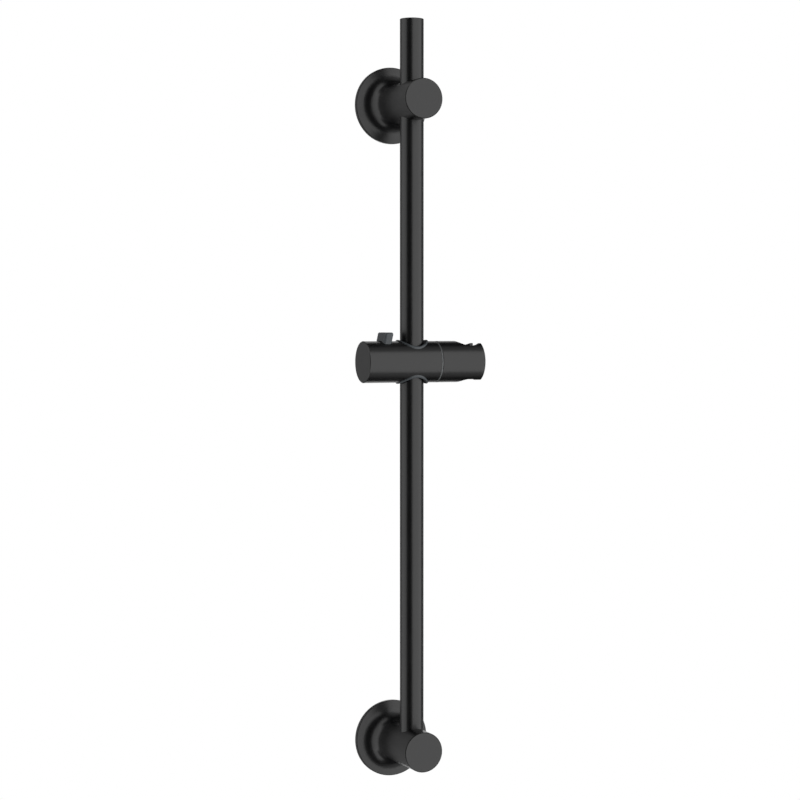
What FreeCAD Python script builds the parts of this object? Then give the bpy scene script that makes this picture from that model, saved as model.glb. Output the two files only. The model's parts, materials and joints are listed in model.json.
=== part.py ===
import math
import os

import FreeCAD
import Part
import Sketcher

# Shower slide rail: a round rail on two wall brackets, with a sprung slider and a tilting handset holder.
# Millimetres and degrees. The wall is the plane y = 0, the room is on its -Y side and +Z is up.
# The origin lies on the wall at the centre of the lower bracket.

os.makedirs("parts", exist_ok=True)
doc = FreeCAD.newDocument("slide_rail")

SIZES = {
    # Rail
    "rail_diameter": 22.0,
    "rail_wall": 1.5,
    "rail_standoff": 52.5,
    "rail_overrun": 75.5,
    "rail_seat_depth": 11.0,
    "plug_thickness": 2.0,
    "plug_spigot_length": 10.0,
    "plug_fit": 0.1,
    "plug_edge_round": 0.6,
    # Wall brackets
    "bracket_spacing": 600.0,
    "bracket_rail_fit": 0.1,
    "flange_diameter": 72.0,
    "flange_rim_width": 6.0,
    "flange_skin": 0.6,
    "flange_rim_round": 0.9,
    "flange_slope": 12.0,
    "flare_share": 0.71,
    "post_diameter": 37.0,
    "post_overhang": 29.0,
    "post_front_chamfer": 0.6,
    # Wall plates
    "plate_thickness": 3.0,
    "plate_fit": 0.3,
    "plate_hole_diameter": 5.5,
    "plate_countersink": 1.2,
    "boss_diameter": 26.0,
    "boss_length": 12.0,
    "boss_fit": 0.1,
    "boss_end_gap": 2.0,
    "boss_groove_depth": 1.0,
    # Grub screws
    "screw_fit": 0.05,
    "set_screw_diameter": 5.0,
    "set_screw_length": 7.0,
    "set_screw_rise": 5.0,
    "clamp_screw_diameter": 6.0,
    "clamp_screw_length": 12.0,
    "screw_point": 0.8,
    "screw_socket_share": 0.5,
    "screw_socket_depth": 3.0,
    # Slider
    "slider_height": 359.0,
    "slider_diameter": 38.5,
    "slider_left_reach": 49.0,
    "slider_right_reach": 23.0,
    "end_cap_thickness": 3.0,
    "end_cap_spigot_length": 3.0,
    "end_cap_chamfer": 0.5,
    "seam_chamfer": 0.4,
    "bush_wall": 1.35,
    "bush_proud": 1.1,
    "bush_outer_round": 0.6,
    "bush_inner_round": 0.4,
    "bush_fit": 0.05,
    "bush_land_gap": 0.5,
    "bush_land_margin": 0.2,
    "glide_ring_wall": 2.5,
    "glide_ring_length": 6.0,
    "glide_ring_gap": 0.1,
    "glide_fit": 0.1,
    # Brake and its paddle
    "lock_travel": 4.0,
    "plunger_diameter": 16.2,
    "plunger_fit": 0.1,
    "plunger_end_gap": 1.0,
    "plunger_setback": 2.25,
    "spring_side_gap": 0.6,
    "spring_bore_depth": 7.0,
    "spring_diameter": 8.0,
    "spring_wire": 1.0,
    "spring_turns": 5.0,
    "spring_gap": 0.1,
    "pad_inset": 0.3,
    "pad_height": 9.0,
    "pad_gap": 0.3,
    "pad_spigot_diameter": 5.0,
    "pad_spigot_length": 4.0,
    "pad_fit": 0.05,
    "pad_window_gap": 0.3,
    "paddle_thickness": 8.6,
    "paddle_width": 21.0,
    "paddle_rise": 8.0,
    "paddle_lean": 12.0,
    "paddle_corner_round": 2.6,
    "paddle_top_round": 1.7,
    "paddle_gap": 0.3,
    "stem_thickness": 5.0,
    "stem_width": 8.0,
    "stem_wall": 1.8,
    "stem_foot_height": 3.0,
    "stem_gap": 0.4,
    "stem_fit": 0.05,
    "stem_pin_diameter": 2.0,
    "stem_pin_rise": 1.6,
    # Handset holder and its pivot
    "washer_thickness": 0.9,
    "washer_inset": 0.35,
    "turn_gap": 0.05,
    "holder_arm_reach": 11.8,
    "holder_end_chamfer": 0.5,
    "socket_reach": 54.9,
    "socket_diameter": 22.4,
    "socket_taper": 3.7,
    "slot_width": 17.8,
    "slot_mouth_round": 1.2,
    "pivot_diameter": 6.0,
    "pivot_fit": 0.1,
    "pivot_end_gap": 1.2,
    "pivot_head_cover": 1.2,
    "pivot_head_diameter": 10.0,
    "pivot_head_height": 4.0,
    "pivot_recess_diameter": 13.0,
    "spring_washer_diameter": 11.6,
    "spring_washer_thickness": 0.8,
    "spring_washer_dish": 0.4,
}

sheet = doc.addObject("Spreadsheet::Sheet", "sizes")
for row, (alias, number) in enumerate(SIZES.items(), start=1):
    sheet.set(f"A{row}", alias.replace("_", " "))
    sheet.set(f"B{row}", str(number))
    sheet.setAlias(f"B{row}", alias)
doc.recompute()

# Sizes that follow from the driving ones
rail_radius = "(sizes.rail_diameter / 2)"
slider_radius = "(sizes.slider_diameter / 2)"
post_radius = "(sizes.post_diameter / 2)"
flange_radius = "(sizes.flange_diameter / 2)"
flange_rim_height = "(sizes.plate_thickness + sizes.flange_skin)"
flange_reach = f"({flange_radius} - {post_radius})"
flare_foot = f"({flange_rim_height} + {flange_reach} * tan(sizes.flange_slope * 1 deg))"
flare_slant = f"({flange_reach} / cos(sizes.flange_slope * 1 deg))"
flare_round = f"({flare_slant} * sizes.flare_share / tan((90 - sizes.flange_slope) / 2 * 1 deg))"
set_screw_height = f"({flange_rim_height} + sizes.set_screw_rise)"
plate_recess = f"({flange_radius} - sizes.flange_rim_width)"
plate_radius = f"({plate_recess} - sizes.plate_fit)"
boss_radius = "(sizes.boss_diameter / 2)"
plate_hole_reach = f"(({plate_radius} + {boss_radius}) / 2)"
boss_top = "(sizes.plate_thickness + sizes.boss_length)"
boss_bore_end = f"({boss_top} + sizes.boss_end_gap)"
post_front = "(sizes.rail_standoff + sizes.post_overhang)"
plug_base = "(sizes.bracket_spacing + sizes.rail_overrun - sizes.plug_thickness)"
ring_radius = f"({rail_radius} + sizes.glide_fit + sizes.glide_ring_wall)"
bush_bore = f"({ring_radius} + sizes.glide_fit)"
bush_radius = f"({bush_bore} + sizes.bush_wall)"
bush_crown = f"({slider_radius} + sizes.bush_proud)"
window_half_height = "(sizes.pad_height / 2 + sizes.pad_window_gap)"
land_half_height = f"({window_half_height} + sizes.bush_land_margin)"
ring_start = f"({land_half_height} + sizes.glide_ring_gap)"
cap_seam = "(sizes.slider_left_reach - sizes.end_cap_thickness)"
cap_spigot_end = f"({cap_seam} - sizes.end_cap_spigot_length)"
plunger_radius = "(sizes.plunger_diameter / 2)"
plunger_bore = f"({plunger_radius} + sizes.plunger_fit)"
plunger_front = f"({bush_radius} + sizes.plunger_setback)"
plunger_back = f"({cap_spigot_end} - sizes.lock_travel - sizes.plunger_end_gap)"
spring_seat = f"({plunger_back} - sizes.spring_bore_depth)"
pad_half_width = f"sqrt(({plunger_radius} - sizes.pad_inset) ^ 2 - (sizes.pad_height / 2) ^ 2)"
paddle_reach = f"({spring_seat} - sizes.stem_wall - sizes.stem_thickness / 2)"
stem_pin_radius = "(sizes.stem_pin_diameter / 2)"
stem_pin_height = "(sizes.stem_foot_height + sizes.stem_pin_rise)"
stem_pin_length = f"2 * sqrt({plunger_radius} ^ 2 - ({stem_pin_height} + {stem_pin_radius}) ^ 2)"
holder_start = "(sizes.slider_right_reach + sizes.washer_thickness + sizes.turn_gap)"
holder_end = "(sizes.socket_reach + sizes.holder_arm_reach)"
socket_flare = f"({slider_radius} * tan(sizes.socket_taper * 1 deg))"
pivot_radius = "(sizes.pivot_diameter / 2)"
pivot_tip = f"({bush_radius} + sizes.bush_fit + sizes.pivot_end_gap)"
pivot_head_end = f"(sizes.socket_reach - sizes.socket_diameter / 2 - {socket_flare} - sizes.pivot_head_cover)"
pivot_head_seat = f"({pivot_head_end} - sizes.pivot_head_height)"
spring_washer_seat = f"({pivot_head_seat} - sizes.spring_washer_thickness - sizes.spring_washer_dish)"
pivot_seat = f"({spring_washer_seat} - sizes.turn_gap)"

BRACKETS = [("lower", "0"), ("upper", "sizes.bracket_spacing")]

ON_WALL = FreeCAD.Rotation(FreeCAD.Vector(1, 0, 0), 90)
UPRIGHT = FreeCAD.Rotation()

# Two lengths nearer than this count as the same
NEAR = 0.001
# A direction with more than this share of an axis runs along it
MOSTLY = 0.7


def value(expression):
    """Present number of an expression in the sheet's names."""
    return float(sheet.evalExpression(expression.replace("sizes.", "")))


def place(item, rotation, spot):
    """Turn a sub-part, and bind where it sits to the sheet by one expression for each axis."""
    item.Placement = FreeCAD.Placement(FreeCAD.Vector(), rotation)
    for axis, expression in zip("xyz", spot):
        item.setExpression(f"Placement.Base.{axis}", expression)


def new_body(label, rotation, spot):
    body = doc.addObject("PartDesign::Body", label)
    body.Label = label
    place(body, rotation, spot)
    return body


def slider_piece(label):
    """A sub-part whose own origin is where the slider's axis crosses the rail's."""
    return new_body(label, UPRIGHT, ("0", "-sizes.rail_standoff", "sizes.slider_height"))


def new_sketch(body, plane, name, shift="0", lift="0"):
    """A sketch on one of the body's own planes, shifted along its first axis and lifted along its normal."""
    support = next(item for item in body.Origin.OriginFeatures if item.Role == plane)
    sketch = body.newObject("Sketcher::SketchObject", f"{body.Label}_{name}")
    sketch.AttachmentSupport = [(support, "")]
    sketch.MapMode = "FlatFace"
    sketch.setExpression("AttachmentOffset.Base.x", shift)
    sketch.setExpression("AttachmentOffset.Base.z", lift)
    return sketch


def pin_point(sketch, shape, point, place_pair):
    """Fix one point of a sketch by its two coordinates."""
    for kind, axis, expression in zip(("DistanceX", "DistanceY"), (-2, -1), place_pair):
        if expression == "0":
            sketch.addConstraint(Sketcher.Constraint("PointOnObject", shape, point, axis))
            continue
        index = sketch.addConstraint(Sketcher.Constraint(kind, -1, 1, shape, point, value(expression)))
        sketch.setExpression(f"Constraints[{index}]", expression)


def polygon(sketch, corners):
    """Closed outline of straight lines through corners, each a pair of expressions."""
    points = [FreeCAD.Vector(value(across), value(up), 0) for across, up in corners]
    first = sketch.GeometryCount
    for start, end in zip(points, points[1:] + points[:1]):
        sketch.addGeometry(Part.LineSegment(start, end))
    for step, corner in enumerate(corners):
        following = first + (step + 1) % len(corners)
        sketch.addConstraint(Sketcher.Constraint("Coincident", first + step, 2, following, 1))
        pin_point(sketch, first + step, 1, corner)


def rectangle(sketch, left, right, bottom, top):
    polygon(sketch, [(left, bottom), (right, bottom), (right, top), (left, top)])


def circle(sketch, across, up, radius):
    centre = FreeCAD.Vector(value(across), value(up), 0)
    shape = sketch.addGeometry(Part.Circle(centre, FreeCAD.Vector(0, 0, 1), value(radius)))
    pin_point(sketch, shape, 3, (across, up))
    index = sketch.addConstraint(Sketcher.Constraint("Radius", shape, value(radius)))
    sketch.setExpression(f"Constraints[{index}]", radius)


def hexagon(sketch, across, up, flats):
    """Regular hexagon from the width across its flats, two flats level."""
    half = f"({flats}) / 2"
    corner = f"({flats}) / sqrt(3)"
    offsets = [("1", "0"), ("0.5", "1"), ("-0.5", "1"), ("-1", "0"), ("-0.5", "-1"), ("0.5", "-1")]
    polygon(sketch, [(f"{across} + {x} * {corner}", f"{up} + {y} * {half}") for x, y in offsets])


def turned(body, sketch, axis, kind="PartDesign::Revolution"):
    """Full turn of a sketch about one of its own axes, adding or cutting."""
    feature = body.newObject(kind, f"{sketch.Name}_turned")
    feature.Profile = sketch
    feature.ReferenceAxis = (sketch, [axis])
    feature.Angle = 360
    doc.recompute()
    return feature


def padded(body, sketch, length, both_ways=False, backwards=False):
    feature = body.newObject("PartDesign::Pad", f"{sketch.Name}_pad")
    feature.Profile = sketch
    feature.SideType = "Symmetric" if both_ways else "One side"
    feature.Reversed = backwards
    feature.setExpression("Length", length)
    doc.recompute()
    return feature


def pocket(body, sketch, length=None, both_ways=False, backwards=False):
    """Cut a sketch through the body, or to a length, and make sure that it took something away."""
    before = body.Shape.Volume
    feature = body.newObject("PartDesign::Pocket", f"{sketch.Name}_cut")
    feature.Profile = sketch
    feature.SideType = "Symmetric" if both_ways else "One side"
    feature.Reversed = backwards
    feature.Type = "Length" if length else "ThroughAll"
    if length:
        feature.setExpression("Length", length)
    doc.recompute()
    if body.Shape.Volume >= before:
        raise RuntimeError(f"{feature.Name} cuts nothing")
    return feature


def ring_edges(shape, axis, along, radius):
    """Names of the edges on a circle of this radius about an axis, at this distance along it."""
    names = []
    for number, edge in enumerate(shape.Edges, start=1):
        if not isinstance(edge.Curve, Part.Circle):
            continue
        centre = edge.Curve.Center
        level = (centre.x, centre.y, centre.z)["XYZ".index(axis)]
        if abs(level - along) < NEAR and abs(edge.Curve.Radius - radius) < NEAR:
            names.append(f"Edge{number}")
    return names


def straight_edges(shape, axis, wanted):
    """Names of the straight edges whose middle passes a test and that run mostly along an axis."""
    names = []
    for number, edge in enumerate(shape.Edges, start=1):
        if not isinstance(edge.Curve, Part.Line):
            continue
        run = edge.Curve.Direction
        if abs((run.x, run.y, run.z)["XYZ".index(axis)]) > MOSTLY and wanted(edge.CenterOfMass):
            names.append(f"Edge{number}")
    return names


def saddle_edges(shape, radius, crown):
    """Names of the edges where a tube about Z meets a cylinder about X."""
    names = []
    for number, edge in enumerate(shape.Edges, start=1):
        ends = (edge.FirstParameter, edge.LastParameter)
        points = [edge.valueAt(at) for at in (*ends, sum(ends) / 2)]
        on_tube = all(abs(math.hypot(point.x, point.y) - radius) < NEAR for point in points)
        on_crown = all(abs(math.hypot(point.y, point.z) - crown) < NEAR for point in points)
        if on_tube and on_crown:
            names.append(f"Edge{number}")
    return names


def soften(body, kind, names, size):
    """Round or chamfer named edges of the body's tip."""
    if not names:
        raise RuntimeError(f"{body.Label} has no such edge")
    base = body.Tip
    feature = body.newObject(f"PartDesign::{kind}", f"{body.Label}_{kind.lower()}")
    feature.Base = (base, names)
    feature.setExpression("Radius" if kind == "Fillet" else "Size", size)
    doc.recompute()
    return feature


def rail_tube():
    body = new_body("rail_tube", UPRIGHT, ("0", "-sizes.rail_standoff", "-sizes.rail_seat_depth"))
    sketch = new_sketch(body, "XY_Plane", "section")
    circle(sketch, "0", "0", rail_radius)
    circle(sketch, "0", "0", f"{rail_radius} - sizes.rail_wall")
    padded(body, sketch, f"{plug_base} + sizes.rail_seat_depth")
    return body


def rail_top_plug():
    """Flush cap with a spigot that fits the rail's bore."""
    body = new_body("rail_top_plug", UPRIGHT, ("0", "-sizes.rail_standoff", plug_base))
    spigot = f"({rail_radius} - sizes.rail_wall - sizes.plug_fit)"
    sketch = new_sketch(body, "XZ_Plane", "profile")
    polygon(sketch, [
        ("0", "-sizes.plug_spigot_length"),
        (spigot, "-sizes.plug_spigot_length"),
        (spigot, "0"),
        (rail_radius, "0"),
        (rail_radius, "sizes.plug_thickness"),
        ("0", "sizes.plug_thickness"),
    ])
    turned(body, sketch, "V_Axis")
    rim = ring_edges(body.Shape, "Z", value(f"{plug_base} + sizes.plug_thickness"), value(rail_radius))
    soften(body, "Fillet", rim, "sizes.plug_edge_round")
    return body


def bracket(label, height, blind):
    """One casting: flange, flare and post, hollow at the back for the wall plate and its boss.

    Its own Z axis points out of the wall and its own Y axis points up. The flange is a low cone, and one
    large round turns it into a hollow flare that runs out into the post.
    """
    body = new_body(label, ON_WALL, ("0", "0", height))
    bore = f"({boss_radius} + sizes.boss_fit)"
    sketch = new_sketch(body, "XZ_Plane", "profile")
    polygon(sketch, [
        (flange_radius, "0"),
        (flange_radius, flange_rim_height),
        (post_radius, flare_foot),
        (post_radius, post_front),
        ("0", post_front),
        ("0", boss_bore_end),
        (bore, boss_bore_end),
        (bore, "sizes.plate_thickness"),
        (plate_recess, "sizes.plate_thickness"),
        (plate_recess, "0"),
    ])
    feature = turned(body, sketch, "V_Axis")

    softened = [
        ("Fillet", flange_rim_height, flange_radius, "sizes.flange_rim_round"),
        ("Fillet", flare_foot, post_radius, flare_round),
        ("Chamfer", post_front, post_radius, "sizes.post_front_chamfer"),
    ]
    for kind, along, radius, size in softened:
        edges = ring_edges(feature.Shape, "Z", value(along), value(radius))
        feature = soften(body, kind, edges, size)

    floor = "sizes.rail_seat_depth" if blind else "0"
    rail_hole = new_sketch(body, "XZ_Plane", "rail_hole", lift=floor)
    circle(rail_hole, "0", "sizes.rail_standoff", f"{rail_radius} + sizes.bracket_rail_fit")
    pocket(body, rail_hole, both_ways=not blind)

    set_hole = new_sketch(body, "YZ_Plane", "set_screw_hole")
    circle(set_hole, "0", set_screw_height, "sizes.set_screw_diameter / 2 + sizes.screw_fit")
    pocket(body, set_hole, backwards=True)

    clamp_hole = new_sketch(body, "XY_Plane", "clamp_screw_hole", lift=boss_bore_end)
    circle(clamp_hole, "0", "0", "sizes.clamp_screw_diameter / 2 + sizes.screw_fit")
    pocket(body, clamp_hole, length=f"sizes.rail_standoff - {boss_bore_end}", backwards=True)
    return body


def wall_plate(label, height):
    """Disc with a grooved boss, screwed to the wall through two countersunk holes."""
    body = new_body(label, ON_WALL, ("0", "0", height))
    groove_radius = f"({boss_radius} - sizes.boss_groove_depth)"
    groove_half = "(sizes.set_screw_diameter / 2 + sizes.boss_fit)"
    sketch = new_sketch(body, "XZ_Plane", "profile")
    polygon(sketch, [
        ("0", "0"),
        (plate_radius, "0"),
        (plate_radius, "sizes.plate_thickness"),
        (boss_radius, "sizes.plate_thickness"),
        (boss_radius, f"{set_screw_height} - {groove_half}"),
        (groove_radius, f"{set_screw_height} - {groove_half}"),
        (groove_radius, f"{set_screw_height} + {groove_half}"),
        (boss_radius, f"{set_screw_height} + {groove_half}"),
        (boss_radius, boss_top),
        ("0", boss_top),
    ])
    turned(body, sketch, "V_Axis")

    holes = new_sketch(body, "XY_Plane", "screw_holes")
    for side in ("-", ""):
        circle(holes, f"{side}{plate_hole_reach}", "0", "sizes.plate_hole_diameter / 2")
    feature = pocket(body, holes, backwards=True)
    hole_radius = value("sizes.plate_hole_diameter / 2")
    mouths = ring_edges(feature.Shape, "Z", value("sizes.plate_thickness"), hole_radius)
    soften(body, "Chamfer", mouths, "sizes.plate_countersink")
    return body


def grub_screw(name, rotation, spot, diameter, length):
    """Headless screw along its own Z axis, point at the bottom and hexagon socket at the top."""
    body = new_body(name, rotation, spot)
    sketch = new_sketch(body, "XZ_Plane", "profile")
    polygon(sketch, [
        ("0", "0"),
        (f"{diameter} / 2 - sizes.screw_point", "0"),
        (f"{diameter} / 2", "sizes.screw_point"),
        (f"{diameter} / 2", length),
        ("0", length),
    ])
    turned(body, sketch, "V_Axis")
    socket = new_sketch(body, "XY_Plane", "socket", lift=length)
    hexagon(socket, "0", "0", f"{diameter} * sizes.screw_socket_share")
    pocket(body, socket, length="sizes.screw_socket_depth")
    return body


def group(label, members):
    """Like fasteners as one sub-part of separate solids."""
    item = doc.addObject("Part::Compound", label)
    item.Label = label
    item.Links = members
    return item


def bracket_set_screws():
    """From the right through each flare onto the boss of its wall plate."""
    to_the_right = FreeCAD.Rotation(FreeCAD.Vector(0, 1, 0), 90)
    tip = f"({boss_radius} - sizes.boss_groove_depth + sizes.screw_fit)"
    screws = []
    for name, height in BRACKETS:
        spot = (tip, f"-{set_screw_height}", height)
        screws.append(grub_screw(f"{name}_set_screw", to_the_right, spot,
                                 "sizes.set_screw_diameter", "sizes.set_screw_length"))
    return group("bracket_set_screws", screws)


def rail_clamp_screws():
    """Out of each boss bore onto the rail, along the post's axis."""
    into_the_wall = FreeCAD.Rotation(FreeCAD.Vector(1, 0, 0), -90)
    tip = f"-(sizes.rail_standoff - {rail_radius} - sizes.screw_fit)"
    screws = []
    for name, height in BRACKETS:
        screws.append(grub_screw(f"{name}_clamp_screw", into_the_wall, ("0", tip, height),
                                 "sizes.clamp_screw_diameter", "sizes.clamp_screw_length"))
    return group("rail_clamp_screws", screws)


def slider_body():
    """Cross tube bored along its axis for the brake and the pivot, and across for the rail's bush."""
    body = slider_piece("slider_body")
    sketch = new_sketch(body, "XZ_Plane", "profile")
    polygon(sketch, [
        (f"-{cap_seam}", plunger_bore),
        (f"-{cap_seam}", slider_radius),
        ("sizes.slider_right_reach", slider_radius),
        ("sizes.slider_right_reach", f"{pivot_radius} + sizes.screw_fit"),
        ("0", f"{pivot_radius} + sizes.screw_fit"),
        ("0", plunger_bore),
    ])
    feature = turned(body, sketch, "H_Axis")
    seam = ring_edges(feature.Shape, "X", value("sizes.slider_right_reach"), value(slider_radius))
    soften(body, "Chamfer", seam, "sizes.seam_chamfer")

    bush_hole = new_sketch(body, "XY_Plane", "bush_hole")
    circle(bush_hole, "0", "0", f"{bush_radius} + sizes.bush_fit")
    pocket(body, bush_hole, both_ways=True)

    stem_half = "(sizes.stem_thickness / 2 + sizes.stem_gap)"
    slot = new_sketch(body, "XY_Plane", "stem_slot")
    rectangle(slot, f"-{paddle_reach} - {stem_half} - sizes.lock_travel", f"-{paddle_reach} + {stem_half}",
              "-sizes.stem_width / 2 - sizes.stem_gap", "sizes.stem_width / 2 + sizes.stem_gap")
    pocket(body, slot, backwards=True)
    return body


def slider_end_cap():
    """Flush disc with a spigot in the plunger's bore, which the brake spring pushes against."""
    body = slider_piece("slider_end_cap")
    spigot = f"({plunger_bore} - sizes.bush_fit)"
    sketch = new_sketch(body, "XZ_Plane", "profile")
    polygon(sketch, [
        ("-sizes.slider_left_reach", "0"),
        ("-sizes.slider_left_reach", slider_radius),
        (f"-{cap_seam}", slider_radius),
        (f"-{cap_seam}", spigot),
        (f"-{cap_spigot_end}", spigot),
        (f"-{cap_spigot_end}", "0"),
    ])
    turned(body, sketch, "H_Axis")
    rim = ring_edges(body.Tip.Shape, "X", -value("sizes.slider_left_reach"), value(slider_radius))
    soften(body, "Chamfer", rim, "sizes.end_cap_chamfer")
    return body


def rail_bush():
    """Sleeve round the rail whose ends follow the slider's curve and stand a little proud of it."""
    body = slider_piece("rail_bush")
    land = f"({rail_radius} + sizes.bush_land_gap)"
    blank = f"({bush_crown} + sizes.bush_proud)"
    sketch = new_sketch(body, "XZ_Plane", "profile")
    polygon(sketch, [
        (bush_bore, f"-{blank}"),
        (bush_radius, f"-{blank}"),
        (bush_radius, blank),
        (bush_bore, blank),
        (bush_bore, land_half_height),
        (land, land_half_height),
        (land, f"-{land_half_height}"),
        (bush_bore, f"-{land_half_height}"),
    ])
    turned(body, sketch, "V_Axis")

    saddle = new_sketch(body, "YZ_Plane", "saddle")
    outside = f"({blank} + {bush_radius})"
    rectangle(saddle, f"-{outside}", outside, f"-{outside}", outside)
    circle(saddle, "0", "0", bush_crown)
    feature = pocket(body, saddle, both_ways=True)
    for radius, size in ((bush_radius, "sizes.bush_outer_round"), (bush_bore, "sizes.bush_inner_round")):
        lip = saddle_edges(feature.Shape, value(radius), value(bush_crown))
        feature = soften(body, "Fillet", lip, size)

    window = new_sketch(body, "YZ_Plane", "pad_window")
    half_width = f"({pad_half_width} + sizes.pad_window_gap)"
    rectangle(window, f"-{half_width}", half_width, f"-{window_half_height}", window_half_height)
    pocket(body, window)
    return body


def glide_ring(label, start):
    """Plain ring with a running fit on the rail and in the bush."""
    body = new_body(label, UPRIGHT, ("0", "-sizes.rail_standoff", f"sizes.slider_height + {start}"))
    sketch = new_sketch(body, "XY_Plane", "section")
    circle(sketch, "0", "0", f"{rail_radius} + sizes.glide_fit")
    circle(sketch, "0", "0", ring_radius)
    padded(body, sketch, "sizes.glide_ring_length")
    return body


def brake_plunger():
    """Round slide with a spring bore behind, a seat for the paddle's stem and a hole for the pad's spigot."""
    body = slider_piece("brake_plunger")
    spring_bore = "(sizes.spring_diameter / 2 + sizes.spring_side_gap)"
    spigot_hole = "(sizes.pad_spigot_diameter / 2 + sizes.pad_fit)"
    spigot_end = f"({plunger_front} + sizes.pad_spigot_length + sizes.pad_fit)"
    sketch = new_sketch(body, "XZ_Plane", "profile")
    polygon(sketch, [
        (f"-{plunger_back}", spring_bore),
        (f"-{plunger_back}", plunger_radius),
        (f"-{plunger_front}", plunger_radius),
        (f"-{plunger_front}", spigot_hole),
        (f"-{spigot_end}", spigot_hole),
        (f"-{spigot_end}", "0"),
        (f"-{spring_seat}", "0"),
        (f"-{spring_seat}", spring_bore),
    ])
    turned(body, sketch, "H_Axis")

    seat = new_sketch(body, "XY_Plane", "stem_seat", lift="sizes.stem_foot_height")
    half_thick = "(sizes.stem_thickness / 2 + sizes.stem_fit)"
    half_wide = "(sizes.stem_width / 2 + sizes.stem_fit)"
    rectangle(seat, f"-{paddle_reach} - {half_thick}", f"-{paddle_reach} + {half_thick}",
              f"-{half_wide}", half_wide)
    pocket(body, seat, backwards=True)

    pin_hole = new_sketch(body, "XZ_Plane", "pin_hole")
    circle(pin_hole, f"-{paddle_reach}", stem_pin_height, f"{stem_pin_radius} + sizes.stem_fit")
    pocket(body, pin_hole, both_ways=True)
    return body


def brake_pad():
    """Block with a hollow face that lies round the rail, and a spigot into the plunger."""
    body = slider_piece("brake_pad")
    block = new_sketch(body, "XY_Plane", "block")
    rectangle(block, f"-{plunger_front}", "0", f"-{pad_half_width}", pad_half_width)
    padded(body, block, "sizes.pad_height", both_ways=True)

    hollow = new_sketch(body, "XY_Plane", "hollow")
    circle(hollow, "0", "0", f"{rail_radius} + sizes.pad_gap")
    pocket(body, hollow, both_ways=True)

    spigot = new_sketch(body, "YZ_Plane", "spigot", lift=f"-{plunger_front}")
    circle(spigot, "0", "0", "sizes.pad_spigot_diameter / 2")
    padded(body, spigot, "sizes.pad_spigot_length", backwards=True)
    return body


def lock_paddle():
    """Leaning thumb tab that sits astride the slider's crest, with a stem down into the plunger."""
    body = slider_piece("lock_paddle")
    top = f"({slider_radius} + sizes.paddle_rise)"
    drop = "(sizes.paddle_width / 2)"
    foot = f"({slider_radius} - {drop})"
    lean = "tan(sizes.paddle_lean * 1 deg)"
    half_thick = "(sizes.paddle_thickness / 2)"
    middle = f"({slider_radius} + sizes.paddle_rise / 2)"

    def leaning(side, level):
        return (f"-{paddle_reach} {side} {half_thick} + ({level} - {middle}) * {lean}", level)

    tab = new_sketch(body, "XZ_Plane", "tab")
    polygon(tab, [leaning("-", foot), leaning("+", foot), leaning("+", top), leaning("-", top)])
    feature = padded(body, tab, "sizes.paddle_width", both_ways=True)
    corners = straight_edges(feature.Shape, "Z", lambda middle_point: True)
    feature = soften(body, "Fillet", corners, "sizes.paddle_corner_round")
    crown_level = value(top) - NEAR
    crown = [f"Edge{number}" for number, edge in enumerate(feature.Shape.Edges, start=1)
             if edge.CenterOfMass.z > crown_level]
    soften(body, "Fillet", crown, "sizes.paddle_top_round")

    saddle = new_sketch(body, "YZ_Plane", "saddle")
    circle(saddle, "0", "0", f"{slider_radius} + sizes.paddle_gap")
    pocket(body, saddle, both_ways=True)

    stem = new_sketch(body, "XY_Plane", "stem", lift="sizes.stem_foot_height + sizes.stem_fit")
    stem_half = "sizes.stem_thickness / 2"
    rectangle(stem, f"-{paddle_reach} - {stem_half}", f"-{paddle_reach} + {stem_half}",
              "-sizes.stem_width / 2", "sizes.stem_width / 2")
    padded(body, stem, f"{middle} - sizes.stem_foot_height - sizes.stem_fit")

    pin_hole = new_sketch(body, "XZ_Plane", "pin_hole")
    circle(pin_hole, f"-{paddle_reach}", stem_pin_height, f"{stem_pin_radius} + sizes.stem_fit")
    pocket(body, pin_hole, both_ways=True)
    return body


def stem_pin():
    body = slider_piece("stem_pin")
    sketch = new_sketch(body, "XZ_Plane", "section")
    circle(sketch, f"-{paddle_reach}", stem_pin_height, stem_pin_radius)
    padded(body, sketch, stem_pin_length, both_ways=True)
    return body


def brake_spring():
    """Open coil between the end cap and the plunger, its wire swept along a helix about the slider's axis."""
    along_x = FreeCAD.Rotation(FreeCAD.Vector(0, 1, 0), 90)
    wire_radius = "(sizes.spring_wire / 2)"
    coil_radius = f"(sizes.spring_diameter / 2 - {wire_radius})"
    start = f"({cap_spigot_end} - {wire_radius} - sizes.spring_gap)"
    coil_length = f"({start} - {spring_seat} - {wire_radius} - sizes.spring_gap)"

    helix = doc.addObject("Part::Helix", "spring_line")
    helix.setExpression("Radius", coil_radius)
    helix.setExpression("Height", coil_length)
    helix.setExpression("Pitch", f"{coil_length} / sizes.spring_turns")
    section = doc.addObject("Part::Circle", "spring_section")
    section.Placement = FreeCAD.Placement(FreeCAD.Vector(), FreeCAD.Rotation(FreeCAD.Vector(1, 0, 0), 90))
    section.setExpression("Radius", wire_radius)
    section.setExpression("Placement.Base.x", coil_radius)
    coil = doc.addObject("Part::Sweep", "brake_spring")
    coil.Label = "brake_spring"
    coil.Sections = [section]
    coil.Spine = helix
    coil.Solid = True
    coil.Frenet = True
    place(coil, along_x, (f"-{start}", "-sizes.rail_standoff", "sizes.slider_height"))
    return coil


def friction_washer():
    """Thin ring in the seam, just inside the slider's surface."""
    body = slider_piece("friction_washer")
    sketch = new_sketch(body, "YZ_Plane", "section", lift="sizes.slider_right_reach")
    circle(sketch, "0", "0", f"{slider_radius} - sizes.washer_inset")
    circle(sketch, "0", "0", f"{pivot_radius} + sizes.pivot_fit")
    padded(body, sketch, "sizes.washer_thickness")
    return body


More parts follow.
